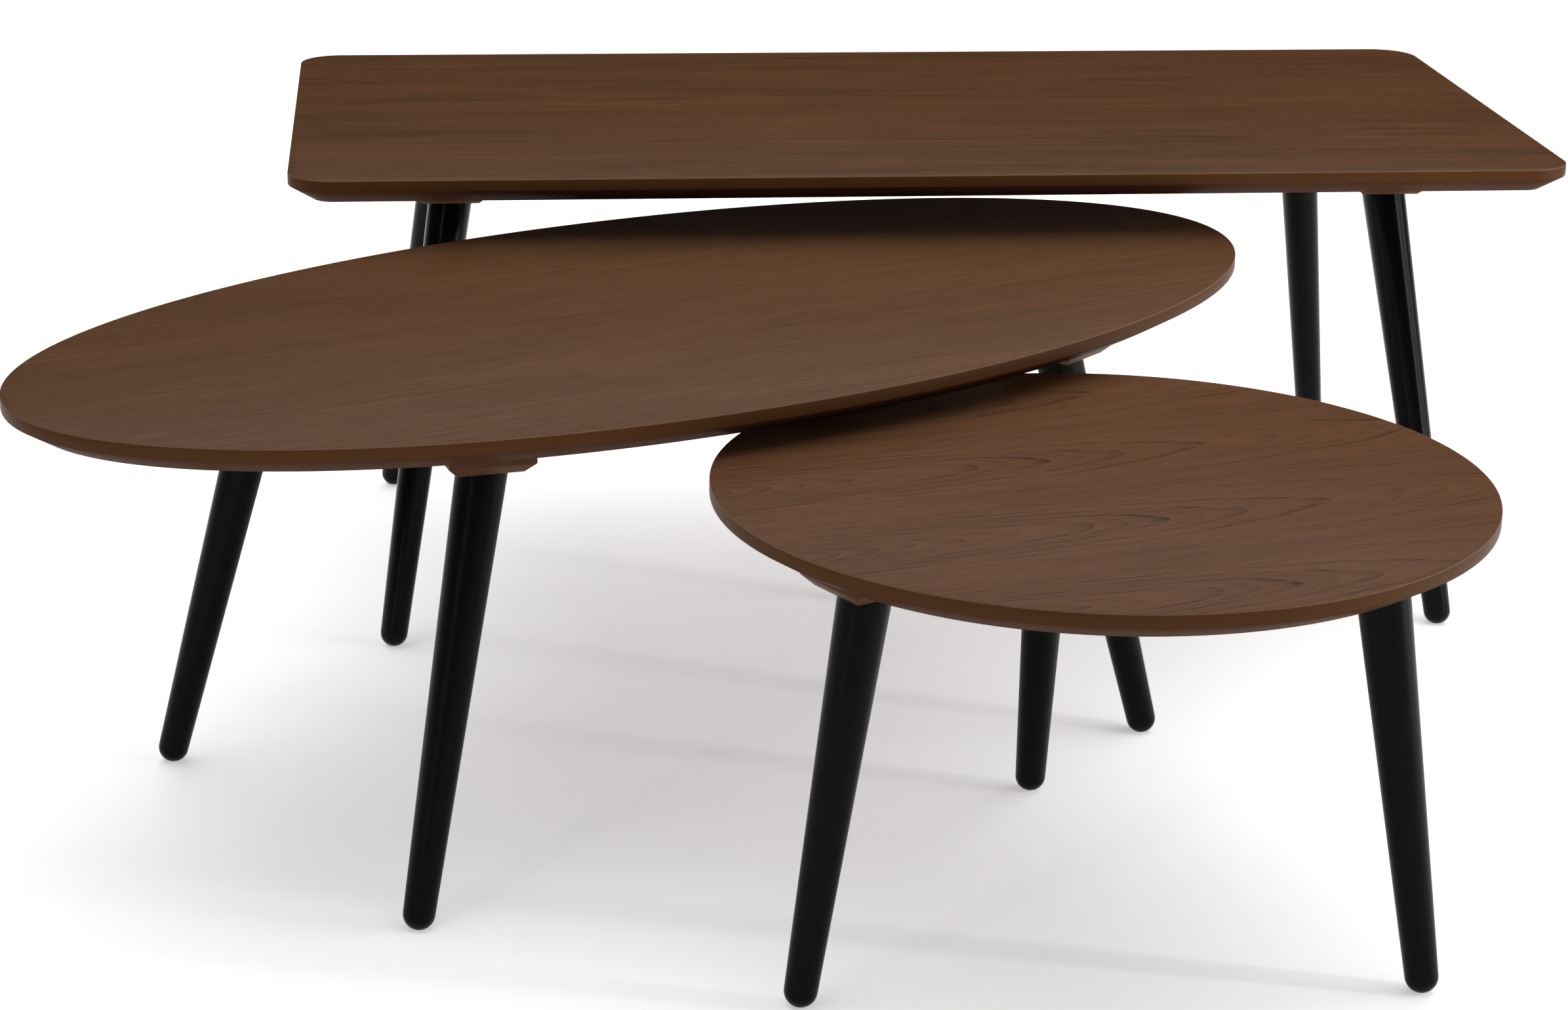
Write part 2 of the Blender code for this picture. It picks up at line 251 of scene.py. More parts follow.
@dataclass(frozen=True)
class WalnutVeneer:
    """Walnut-stained veneer under a matt lacquer, sliced 0.6 mm thick and pressed on a board.

    It gives the eye a quiet dark brown with thin growth lines, long soft
    streaks and short pores, and no mirror image of the room.  Each _span is
    the part of a noise's range that is stretched onto the _gain beside it.
    """

    name: str
    figure: Figure
    centre: Vector
    turn: float
    light: str
    dark: str
    leaf_width: float = 0.172
    leaf_slip: float = 0.025
    leaf_offset: float = 0.0
    line_spacing: float = 0.0045
    line_depth: float = 0.55
    streak_depth: float = 0.55
    fibre_depth: float = 0.55
    cloud_depth: float = 0.6
    seed: float = 0.0
    ior: float = 1.09
    roughness: float = 0.24
    relief: float = 0.25
    streaks: Marks = Marks(200.0, 4.348, detail=4.0, roughness=0.62)
    fibres: Marks = Marks(55.56, 2.222, roughness=0.65)
    clouds: Marks = Marks(384.6, 62.5, detail=3.0, roughness=0.55)
    # Where the streaks stand closer and darker.
    groups: Marks = Marks(909.1, 45.45)
    group_span: tuple[float, float] = (0.42, 0.66)
    group_gain: tuple[float, float] = (0.35, 1.9)
    # The growth lines: rings that narrow along the trunk in a flat cut, nearly straight in a quarter cut.
    waves: Marks = Marks(250.0, 83.33)
    arch_narrowing: float = 0.10
    arch_depth: float = 0.052
    arch_offset: float = 0.012
    arch_swing: float = 0.015
    straight_slope: float = 0.004
    straight_swing: float = 0.012
    line_sharpness: float = 2.2
    line_end: float = 9.0
    line_share: float = 0.18
    line_relief: float = -0.3
    breaks: Marks = Marks(90.91, 6.667)
    break_span: tuple[float, float] = (0.38, 0.60)
    break_gain: tuple[float, float] = (0.15, 1.0)
    # Real pores are a fifth as wide; drawn that fine they would not show.
    pores: Marks = Marks(9.091, 0.6667, detail=1.0)
    pore_span: tuple[float, float] = (0.56, 0.70)
    pore_colour: str = "#23160e"
    pore_depth: float = 0.40

    def build(self) -> bpy.types.Material:
        """Return the material."""
        material, tree, shader = start_material(self.name)
        along, across = self._grain_axes(tree)
        line = self._growth_lines(tree, along, across)
        streak = self._noise(tree, along, across, self.streaks)
        fibre = self._noise(tree, along, across, self.fibres)
        cloud = self._noise(tree, along, across, self.clouds)
        group = self._noise(tree, along, across, self.groups)
        pore = self._pores(tree, along, across)
        grouped = remap(tree, group, self.group_span, self.group_gain)
        streak = reckon(tree, "MULTIPLY", reckon(tree, "SUBTRACT", streak, 0.5), grouped)
        shade = reckon(tree, "MULTIPLY", line, self.line_depth)
        shade = reckon(tree, "MULTIPLY_ADD", streak, self.streak_depth, shade)
        for part, depth in ((fibre, self.fibre_depth), (cloud, self.cloud_depth)):
            shade = reckon(tree, "ADD", shade, reckon(tree, "MULTIPLY_ADD", part, depth, -0.5 * depth))
        shade = reckon(tree, "ADD", shade, 0.5 - self.line_share * self.line_depth)
        colour = blend_colours(tree, shade, linear(self.light), linear(self.dark))
        pored = reckon(tree, "MULTIPLY", pore, self.pore_depth)
        colour = blend_colours(tree, pored, colour, linear(self.pore_colour))
        tree.links.new(colour, shader.inputs["Base Color"])
        rough = reckon(tree, "MULTIPLY_ADD", fibre, self.roughness / 2, self.roughness)
        tree.links.new(rough, shader.inputs["Roughness"])
        sunk_lines = reckon(tree, "MULTIPLY", line, self.line_relief)
        add_relief(tree, shader, self.relief, reckon(tree, "MULTIPLY_ADD", pore, -1.0, sunk_lines))
        shader.inputs["IOR"].default_value = self.ior
        return material

    def _grain_axes(self, tree: bpy.types.NodeTree) -> tuple[bpy.types.NodeSocket, bpy.types.NodeSocket]:
        """Return the places along and across the grain, measured in each leaf of veneer."""
        place = add_node(tree, "ShaderNodeTexCoord").outputs["Object"]
        settled = add_node(tree, "ShaderNodeMapping", {"vector_type": "TEXTURE"}, {
            "Vector": place, "Location": self.centre, "Rotation": (0.0, 0.0, self.turn),
        })
        split = add_node(tree, "ShaderNodeSeparateXYZ", None, {0: settled.outputs[0]})
        along, across = split.outputs["X"], split.outputs["Y"]
        if self.figure is Figure.QUARTER_CUT:
            return along, across
        across = reckon(tree, "ADD", across, self.leaf_offset)
        leaf = reckon(tree, "FLOOR", reckon(tree, "DIVIDE", across, self.leaf_width))
        leaf_middle = reckon(tree, "MULTIPLY_ADD", leaf, self.leaf_width, self.leaf_width / 2)
        across = reckon(tree, "SUBTRACT", across, leaf_middle)
        along = reckon(tree, "MULTIPLY_ADD", leaf, self.leaf_slip, along)
        return along, across

    def _noise(self, tree: bpy.types.NodeTree, along: bpy.types.NodeSocket, across: bpy.types.NodeSocket,
               marks: Marks) -> bpy.types.NodeSocket:
        """Add noise that is drawn out along the grain.

        Args:
            tree: The node tree.
            along: The place along the grain.
            across: The place across it.
            marks: The pattern.

        Returns:
            The socket that holds it.
        """
        spot = add_node(tree, "ShaderNodeCombineXYZ", None, {
            0: reckon(tree, "MULTIPLY", along, repeats(marks.length_mm)),
            1: reckon(tree, "MULTIPLY", across, repeats(marks.width_mm)),
            2: self.seed,
        })
        noise = add_node(tree, "ShaderNodeTexNoise", None, {
            "Vector": spot.outputs[0], "Scale": 1.0, "Detail": marks.detail, "Roughness": marks.roughness,
        })
        return noise.outputs["Fac"]

    def _growth_lines(self, tree: bpy.types.NodeTree, along: bpy.types.NodeSocket,
                      across: bpy.types.NodeSocket) -> bpy.types.NodeSocket:
        """Add the growth lines.

        A leaf is a level slice of a trunk whose rings narrow to a point, so a
        flat cut shows nested arches and a quarter cut shows nearly straight lines.

        Args:
            tree: The node tree.
            along: The place along the grain.
            across: The place across it.

        Returns:
            The socket that holds how dark the lines are.
        """
        wave = self._noise(tree, along, across, self.waves)
        if self.figure is Figure.FLAT_CUT:
            depth = reckon(tree, "MULTIPLY_ADD", along, self.arch_narrowing, self.arch_depth)
            off_axis = reckon(tree, "SUBTRACT", across, self.arch_offset)
            squares = [reckon(tree, "MULTIPLY", way, way) for way in (off_axis, depth)]
            reach = reckon(tree, "POWER", reckon(tree, "ADD", *squares), 0.5)
            swing = self.arch_swing
        else:
            reach = reckon(tree, "MULTIPLY_ADD", along, self.straight_slope, across)
            swing = self.straight_swing
        ring = reckon(tree, "DIVIDE", reckon(tree, "MULTIPLY_ADD", wave, swing, reach), self.line_spacing)
        year = reckon(tree, "FLOOR", ring)
        strength = add_node(
            tree, "ShaderNodeTexWhiteNoise", {"noise_dimensions": "1D"}, {"W": year}
        ).outputs["Value"]
        phase = reckon(tree, "FRACT", ring)
        late = reckon(tree, "POWER", phase, self.line_sharpness)
        fall = reckon(tree, "MULTIPLY_ADD", phase, -self.line_end, self.line_end)
        close = reckon(tree, "SMOOTH_MIN", late, fall, 0.1)
        gaps = self._noise(tree, along, across, self.breaks)
        broken = remap(tree, gaps, self.break_span, self.break_gain)
        return reckon(tree, "MULTIPLY", reckon(tree, "MULTIPLY", close, strength), broken)

    def _pores(self, tree: bpy.types.NodeTree, along: bpy.types.NodeSocket,
               across: bpy.types.NodeSocket) -> bpy.types.NodeSocket:
        """Add short dark pores.

        Args:
            tree: The node tree.
            along: The place along the grain.
            across: The place across it.

        Returns:
            The socket that holds how far a place lies in a pore.
        """
        grain = self._noise(tree, along, across, self.pores)
        return remap(tree, grain, self.pore_span, (0.0, 1.0))


@dataclass(frozen=True)
class StainedEdge:
    """Walnut-stained, lacquered fibreboard: milled to shape, sanded and stained.

    It gives the eye a smooth brown without grain lines, with a fine mottle.
    """

    name: str
    light: str
    dark: str
    roughness: float = 0.42
    ior: float = 1.12
    relief: float = 0.15
    mottle_mm: float = 1.667
    cloud_mm: float = 71.43

    def build(self) -> bpy.types.Material:
        """Return the material."""
        material, tree, shader = start_material(self.name)
        mottle = fine_noise(tree, self.mottle_mm, 2.0, 0.6)
        cloud = fine_noise(tree, self.cloud_mm, 2.0, 0.5)
        share = reckon(tree, "MULTIPLY", reckon(tree, "ADD", mottle, cloud), 0.5)
        colour = blend_colours(tree, share, linear(self.dark), linear(self.light))
        tree.links.new(colour, shader.inputs["Base Color"])
        rough = reckon(tree, "MULTIPLY_ADD", mottle, 0.10, self.roughness - 0.05)
        tree.links.new(rough, shader.inputs["Roughness"])
        shader.inputs["IOR"].default_value = self.ior
        add_relief(tree, shader, self.relief, mottle)
        return material


@dataclass(frozen=True)
class StainedHardwood:
    """Walnut-stained hardwood, planed and lacquered satin.

    It gives the eye a fine straight grain, and a dull sheen.
    """

    name: str
    light: str
    dark: str
    roughness: float = 0.36
    ior: float = 1.15
    relief: float = 0.2
    grain_mm: tuple[float, float, float] = (28.57, 2.0, 2.0)

    def build(self) -> bpy.types.Material:
        """Return the material."""
        material, tree, shader = start_material(self.name)
        place = add_node(tree, "ShaderNodeTexCoord").outputs["Object"]
        stretched = add_node(tree, "ShaderNodeMapping", None, {
            "Vector": place, "Scale": tuple(repeats(size) for size in self.grain_mm),
        })
        grain = add_node(tree, "ShaderNodeTexNoise", None, {
            "Vector": stretched.outputs[0], "Scale": 1.0, "Detail": 3.0, "Roughness": 0.6,
        }).outputs["Fac"]
        colour = blend_colours(tree, grain, linear(self.light), linear(self.dark))
        tree.links.new(colour, shader.inputs["Base Color"])
        rough = reckon(tree, "MULTIPLY_ADD", grain, 0.12, self.roughness)
        tree.links.new(rough, shader.inputs["Roughness"])
        shader.inputs["IOR"].default_value = self.ior
        add_relief(tree, shader, self.relief, grain)
        return material


@dataclass(frozen=True)
class BlackLacquer:
    """Black lacquer sprayed on turned beech, satin or semi-gloss by its roughness.

    It gives the eye a deep, nearly level black with one soft streak of light
    down each leg.
    """

    name: str
    colour: str = "#050505"
    roughness: float = 0.34
    ior: float = 1.16
    relief: float = 0.025
    peel_mm: float = 3.846
    smear_mm: float = 45.45

    def build(self) -> bpy.types.Material:
        """Return the material."""
        material, tree, shader = start_material(self.name)
        peel = fine_noise(tree, self.peel_mm, 1.0, 0.5)
        smear = fine_noise(tree, self.smear_mm, 3.0, 0.55)
        shader.inputs["Base Color"].default_value = linear(self.colour)
        rough = reckon(tree, "MULTIPLY_ADD", smear, 0.08, self.roughness - 0.04)
        tree.links.new(rough, shader.inputs["Roughness"])
        add_relief(tree, shader, self.relief, peel)
        shader.inputs["IOR"].default_value = self.ior
        return material


@dataclass(frozen=True)
class PlatedSteel:
    """Turned or rolled steel under white or yellow zinc plating.

    It gives the eye a dull metal with faint clouds.
    """

    name: str
    light: str
    dark: str
    roughness: float = 0.28
    cloud_mm: float = 3.333

    def build(self) -> bpy.types.Material:
        """Return the material."""
        material, tree, shader = start_material(self.name)
        cloud = fine_noise(tree, self.cloud_mm, 3.0, 0.6)
        colour = blend_colours(tree, cloud, linear(self.dark), linear(self.light))
        tree.links.new(colour, shader.inputs["Base Color"])
        rough = reckon(tree, "MULTIPLY_ADD", cloud, 0.15, self.roughness)
        tree.links.new(rough, shader.inputs["Roughness"])
        shader.inputs["Metallic"].default_value = 1.0
        return material


# ---------------------------------------------------------------- meshes


def finish_piece(name: str, form: bmesh.types.BMesh, materials: list[bpy.types.Material],
                 body: str, nodes: tuple[str, ...] = (), angle: float = 32.0) -> bpy.types.Object:
    """Make a piece from a form that already lies in its place.

    Args:
        name: The piece's name.
        form: Its mesh, in the frame's coordinates; it is freed.
        materials: Its materials, by face material number.
        body: The body that carries it.
        nodes: The solids that it stands for.
        angle: Edges sharper than this many degrees stay sharp.

    Returns:
        The piece.
    """
    mesh = bpy.data.meshes.new(name)
    form.to_mesh(mesh)
    form.free()
    for material in materials:
        mesh.materials.append(material)
    mesh.shade_smooth()
    mesh.set_sharp_from_angle(angle=math.radians(angle))
    piece = bpy.data.objects.new(name, mesh)
    bpy.context.scene.collection.objects.link(piece)
    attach(piece, body)
    if nodes:
        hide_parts(*nodes)
    LOG.info("%s: %d faces on %s", name, len(mesh.polygons), body)
    return piece


def spin_profile(form: bmesh.types.BMesh, profile: list[tuple[float, float]], steps: int) -> None:
    """Turn a profile about Z into a closed solid.

    Args:
        form: The mesh that takes the solid.
        profile: Points of (radius, height) that start and end on the axis.
        steps: How many steps go round.
    """
    points = [form.verts.new((radius, 0.0, height)) for radius, height in profile]
    edges = [form.edges.new(pair) for pair in zip(points, points[1:])]
    bmesh.ops.spin(form, geom=points + edges, angle=math.tau, steps=steps, axis=(0, 0, 1), use_merge=True)
    bmesh.ops.remove_doubles(form, verts=form.verts, dist=MERGING)
    bmesh.ops.recalc_face_normals(form, faces=form.faces)


def slice_level(form: bmesh.types.BMesh, height: float, keep_above: bool) -> None:
    """Cut a closed form at a height and close it with a flat face.

    Args:
        form: The mesh.
        height: Where the level cut lies.
        keep_above: Whether the part above the cut stays.
    """
    normal = (0.0, 0.0, -1.0 if keep_above else 1.0)
    sliced = bmesh.ops.bisect_plane(
        form, geom=form.verts[:] + form.edges[:] + form.faces[:], dist=0.1 * MERGING,
        plane_co=(0.0, 0.0, height), plane_no=normal, clear_outer=True,
    )
    rim = [item for item in sliced["geom_cut"] if isinstance(item, bmesh.types.BMEdge)]
    bmesh.ops.contextual_create(form, geom=rim)
    bmesh.ops.recalc_face_normals(form, faces=form.faces)


def carve(form: bmesh.types.BMesh, cutter: bmesh.types.BMesh) -> bmesh.types.BMesh:
    """Cut one form out of another.

    Args:
        form: The mesh that is cut; it is freed.
        cutter: The mesh that is taken away; it is freed.

    Returns:
        The carved mesh.
    """
    holders = []
    for shape in (form, cutter):
        mesh = bpy.data.meshes.new("carving")
        shape.to_mesh(mesh)
        shape.free()
        holder = bpy.data.objects.new("carving", mesh)
        bpy.context.scene.collection.objects.link(holder)
        holders.append(holder)
    modifier = holders[0].modifiers.new("cut", "BOOLEAN")
    modifier.operation = "DIFFERENCE"
    modifier.solver = "EXACT"
    modifier.object = holders[1]
    carved = bmesh.new()
    carved.from_object(holders[0], bpy.context.evaluated_depsgraph_get())
    for holder in holders:
        bpy.data.objects.remove(holder, do_unlink=True)
    return carved


def drill(radius: float, mouth: Vector, way: Vector, depth: float, over: float) -> bmesh.types.BMesh:
    """Make a drilled hole as a solid with a blunt point.

    Args:
        radius: The hole's radius.
        mouth: Where the hole opens.
        way: The direction out of the hole.
        depth: How deep it is.
        over: How far the solid stands out of the mouth.

    Returns:
        The hole.
    """
    hole = bmesh.new()
    outline = [(0.0, -depth - radius / 2), (radius, -depth), (radius, over), (0.0, over)]
    spin_profile(hole, outline, DRILL_STEPS)
    lean = Vector((0.0, 0.0, 1.0)).rotation_difference(way).to_matrix().to_4x4()
    bmesh.ops.transform(hole, matrix=Matrix.Translation(mouth) @ lean, verts=hole.verts)
    return hole


def middle(node: str) -> Vector:
    """Return the middle of a solid's box."""
    low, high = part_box(node)
    return (low + high) / 2


# ---------------------------------------------------------------- boards


class BoardFinish(IntEnum):
    """The material numbers of a board's faces."""

    TOP = 0
    EDGE = 1
    UNDERSIDE = 2
    ARRIS = 3


@dataclass
class Board:
    """A table top: level above, upright at its edge, slanted in below."""

    label: str
    edge_height: float = 0.012
    bevel_width: float = 0.025
    arris_radius: float = 0.0012
    lower_arris_radius: float = 0.0006

    def outline(self, form: bmesh.types.BMesh) -> None:
        """Lay the top's outline as one face about the origin."""
        raise NotImplementedError

    def build(self, veneer: bpy.types.Material, finishes: list[bpy.types.Material],
              turn: float) -> bpy.types.Object:
        """Model the board where its solid lies.

        Args:
            veneer: The finish of the level top.
            finishes: Those of the upright edge, of the underside with its slant (its colour darkened as
                painted shade), and of the arris (its colour lightened, partly as wear and partly as a
                painted highlight).
            turn: How far the board is turned about Z.

        Returns:
            The board.
        """
        node = f"{self.label}_top"
        low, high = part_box(node)
        form = bmesh.new()
        self.outline(form)
        base = next(iter(form.faces))
        raised = bmesh.ops.extrude_face_region(form, geom=[base])["geom"]
        bmesh.ops.translate(
            form, verts=[item for item in raised if isinstance(item, bmesh.types.BMVert)],
            vec=(0.0, 0.0, self.edge_height),
        )
        bmesh.ops.recalc_face_normals(form, faces=form.faces)
        floor = min(form.faces, key=lambda face: face.calc_center_median().z)
        bmesh.ops.inset_region(
            form, faces=[floor], thickness=self.bevel_width,
            depth=high.z - low.z - self.edge_height, use_even_offset=True,
        )
        self._soften(form)
        for face in form.faces:
            self._mark(face)
        centre = (low + high) / 2
        place = Matrix.Translation((centre.x, centre.y, high.z - self.edge_height))
        bmesh.ops.transform(form, matrix=place @ Matrix.Rotation(turn, 4, "Z"), verts=form.verts)
        return finish_piece(
            f"{self.label}_board", form, [veneer, *finishes], f"{self.label}_table",
            (node,),
        )

    def _soften(self, form: bmesh.types.BMesh) -> None:
        """Round the two arrises of the edge."""
        upper = (self.edge_height, self.arris_radius, 3)
        lower = (0.0, self.lower_arris_radius, 2)
        for height, radius, steps in (upper, lower):
            rim = [
                line for line in form.edges
                if all(abs(corner.co.z - height) < TOUCHING for corner in line.verts)
                and len(line.link_faces) == 2
            ]
            bmesh.ops.bevel(
                form, geom=rim, offset=radius, affect="EDGES", segments=steps, profile=0.5, material=-1
            )

    def _mark(self, face: bmesh.types.BMFace) -> None:
        """Number a face by the finish that it takes, which follows from how far it looks up."""
        face.normal_update()
        if face.normal.z > 0.9:
            face.material_index = BoardFinish.TOP
        elif face.normal.z > 0.05:
            # The arris band takes a lighter colour: partly wear, partly a painted highlight.
            face.material_index = BoardFinish.ARRIS
        elif face.normal.z > -0.2:
            face.material_index = BoardFinish.EDGE
        else:
            # Downward faces take a darker colour as painted shade.
            face.material_index = BoardFinish.UNDERSIDE


@dataclass
class RectangularBoard(Board):
    """The longest top, with four round corners."""

    length: float = 1.300
    width: float = 0.650
    corner_radius: float = 0.045
    corner_steps: int = 14

    def outline(self, form: bmesh.types.BMesh) -> None:
        """Lay a rectangle with round corners."""
        bmesh.ops.create_grid(form, x_segments=1, y_segments=1, size=0.5)
        bmesh.ops.scale(form, vec=(self.length, self.width, 1.0), verts=form.verts)
        bmesh.ops.bevel(
            form, geom=form.verts[:], offset=self.corner_radius, affect="VERTICES",
            segments=self.corner_steps, profile=0.5, material=-1,
        )


@dataclass
class EllipticalBoard(Board):
    """An oval or round top."""

    length: float = 1.300
    width: float = 0.650
    steps: int = 256

    def outline(self, form: bmesh.types.BMesh) -> None:
        """Lay an ellipse."""
        bmesh.ops.create_circle(form, cap_ends=True, segments=self.steps, radius=0.5)
        bmesh.ops.scale(form, vec=(self.length, self.width, 1.0), verts=form.verts)


# ---------------------------------------------------------------- blocks, legs and screws


@dataclass
class MountingBlock:
    """A square block under a board, with chamfered lower edges and screw holes."""

    size: float = 0.076
    chamfer: float = 0.009
    arris_radius: float = 0.0007
    hole_pitch: float = 0.046
    hole_radius: float = 0.00225
    sink_radius: float = 0.00425
    sink_depth: float = 0.0022
    hole_steps: int = 20
    insert_bore_radius: float = 0.0066
    sharp_angle: float = 25.0

    def build(self, node: str, name: str, body: str, finish: bpy.types.Material, turn: float,
              seat: Vector, ball: Vector) -> bpy.types.Object:
        """Model a block where its solid lies.

        Args:
            node: The solid that it stands for.
            name: The piece's name.
            body: The body that carries it.
            finish: Its material.
            turn: How far it is turned about Z.
            seat: The middle of the leg's upper end, where the insert's bore opens.
            ball: The middle of the leg's round tip, which the bore points away from.

        Returns:
            The block.
        """
        low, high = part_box(node)
        tall = high.z - low.z
        form = bmesh.new()
        bmesh.ops.create_cube(form, size=1.0, matrix=Matrix.Diagonal((self.size, self.size, tall, 1.0)))
        floor = min(form.faces, key=lambda face: face.calc_center_median().z)
        bmesh.ops.bevel(
            form, geom=list(floor.edges), offset=self.chamfer, affect="EDGES", segments=1,
            profile=0.5, material=-1,
        )
        below_roof = [
            line for line in form.edges if min(corner.co.z for corner in line.verts) < tall / 2 - MM
        ]
        bmesh.ops.bevel(
            form, geom=below_roof, offset=self.arris_radius, affect="EDGES", segments=2,
            profile=0.5, material=-1,
        )
        form = carve(form, self._holes(tall))
        place = Matrix.Translation(middle(node)) @ Matrix.Rotation(turn, 4, "Z")
        bmesh.ops.transform(form, matrix=place, verts=form.verts)
        form = carve(form, drill(self.insert_bore_radius, seat, seat - ball, tall / 2, 1.5 * tall))
        return finish_piece(name, form, [finish], body, (node,), self.sharp_angle)

    def places(self) -> list[tuple[float, float]]:
        """Return the four screw places about the block's middle."""
        half = self.hole_pitch / 2
        return [(x, y) for x in (-half, half) for y in (-half, half)]

    def _holes(self, tall: float) -> bmesh.types.BMesh:
        """Return the four countersunk holes as solids."""
        cutter = bmesh.new()
        over = MM
        for x, y in self.places():
            hole = bmesh.new()
            spin_profile(hole, [
                (0.0, -over), (self.sink_radius, -over), (self.sink_radius, 0.0),
                (self.hole_radius, self.sink_depth), (self.hole_radius, tall + over), (0.0, tall + over),
            ], self.hole_steps)
            bmesh.ops.translate(hole, verts=hole.verts, vec=(x, y, -tall / 2))
            add_form(cutter, hole)
        return cutter


def add_form(target: bmesh.types.BMesh, source: bmesh.types.BMesh) -> None:
    """Add one form to another and free it."""
    mesh = bpy.data.meshes.new("carried")
    source.to_mesh(mesh)
    source.free()
    target.from_mesh(mesh)
    bpy.data.meshes.remove(mesh)


@dataclass
class WoodScrew:
    """A countersunk wood screw with a cross recess."""

    head_radius: float = 0.0041
    head_depth: float = 0.0021
    head_break: float = 0.0002
    head_rim: float = 0.00015
    shank_radius: float = 0.0019
    length: float = 0.030
    point_length: float = 0.003
    steps: int = 24
    sunk: float = 0.0002
    recess_length: float = 0.0046
    recess_width: float = 0.0010
    recess_depth: float = 0.0012
    recess_turn: float = math.radians(4.0)  # keeps the recess off the facets of the head

    def form(self) -> bmesh.types.BMesh:
        """Return one screw, head down at z = 0 and pointing up."""
        screw = bmesh.new()
        spin_profile(screw, [
            (0.0, 0.0), (self.head_radius - self.head_break, 0.0), (self.head_radius, self.head_rim),
            (self.shank_radius, self.head_depth), (self.shank_radius, self.length - self.point_length),
            (0.0, self.length),
        ], self.steps)
        return carve(screw, self._recess())

    def _recess(self) -> bmesh.types.BMesh:
        """Return the cross recess as one solid: a square post with an arm drawn out of each side."""
        cross = bmesh.new()
        post = (self.recess_width, self.recess_width, 2 * self.recess_depth, 1.0)
        bmesh.ops.create_cube(cross, size=1.0, matrix=Matrix.Diagonal(post))
        cross.normal_update()
        arm = (self.recess_length - self.recess_width) / 2
        for side in [face for face in cross.faces if abs(face.normal.z) < 0.5]:
            way = side.normal * arm
            raised = bmesh.ops.extrude_face_region(cross, geom=[side])["geom"]
            tip = [item for item in raised if isinstance(item, bmesh.types.BMVert)]
            bmesh.ops.translate(cross, verts=tip, vec=way)
            bmesh.ops.delete(cross, geom=[side], context="FACES_ONLY")
        bmesh.ops.recalc_face_normals(cross, faces=cross.faces)
        bmesh.ops.transform(cross, matrix=Matrix.Rotation(self.recess_turn, 4, "Z"), verts=cross.verts)
        return cross


@dataclass
class TaperedLeg:
    """A turned leg that leans outwards: a straight taper with a ball-round tip, cut level at both ends."""

    top_radius: float = 0.02225
    foot_radius: float = 0.0140
    flat_radius: float = 0.0040
    bore_radius: float = 0.0043
    bore_depth: float = 0.0453
    steps: int = 56
    tip_rings: int = 9

    def ends(self, node: str) -> tuple[Vector, Vector]:
        """Return the middle of a leg's upper end and that of the ball in its tip."""
        low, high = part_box(node)
        seat = self._ring_middle(node, high.z)
        flat = self._ring_middle(node, low.z)
        rise = math.sqrt(self.foot_radius ** 2 - self.flat_radius ** 2)
        return seat, Vector((flat.x, flat.y, low.z + rise))

    def build(self, node: str, name: str, body: str, finish: bpy.types.Material) -> bpy.types.Object:
        """Model a leg where its solid stands.

        Args:
            node: The solid that it stands for.
            name: The piece's name.
            body: The body that carries it.
            finish: Its material.

        Returns:
            The leg.
        """
        low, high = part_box(node)
        seat, ball = self.ends(node)
        axis = seat - ball
        spare = self.top_radius
        slope = (self.top_radius - self.foot_radius) / axis.length
        profile = [(0.0, -self.foot_radius)]
        for ring in range(1, self.tip_rings + 1):
            angle = math.pi / 2 * ring / self.tip_rings
            profile.append((self.foot_radius * math.sin(angle), -self.foot_radius * math.cos(angle)))
        profile.append((self.top_radius + slope * spare, axis.length + spare))
        profile.append((0.0, axis.length + spare))
        form = bmesh.new()
        spin_profile(form, profile, self.steps)
        lean = Vector((0.0, 0.0, 1.0)).rotation_difference(axis).to_matrix().to_4x4()
        bmesh.ops.transform(form, matrix=Matrix.Translation(ball) @ lean, verts=form.verts)
        slice_level(form, high.z, False)
        slice_level(form, low.z, True)
        form = carve(form, drill(self.bore_radius, seat, axis, self.bore_depth, self.top_radius))
        return finish_piece(name, form, [finish], body, (node,))

    @staticmethod
    def _ring_middle(node: str, height: float) -> Vector:
        """Return the middle of the solid's outline at one of its level ends."""
        corners = [vertex.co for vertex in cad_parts[node].data.vertices]
        ring = [corner for corner in corners if abs(corner.z - height) < 5 * TOUCHING]
        spans = [[corner[axis] for corner in ring] for axis in (0, 1)]
        return Vector((*((min(span) + max(span)) / 2 for span in spans), height))


# ---------------------------------------------------------------- tables


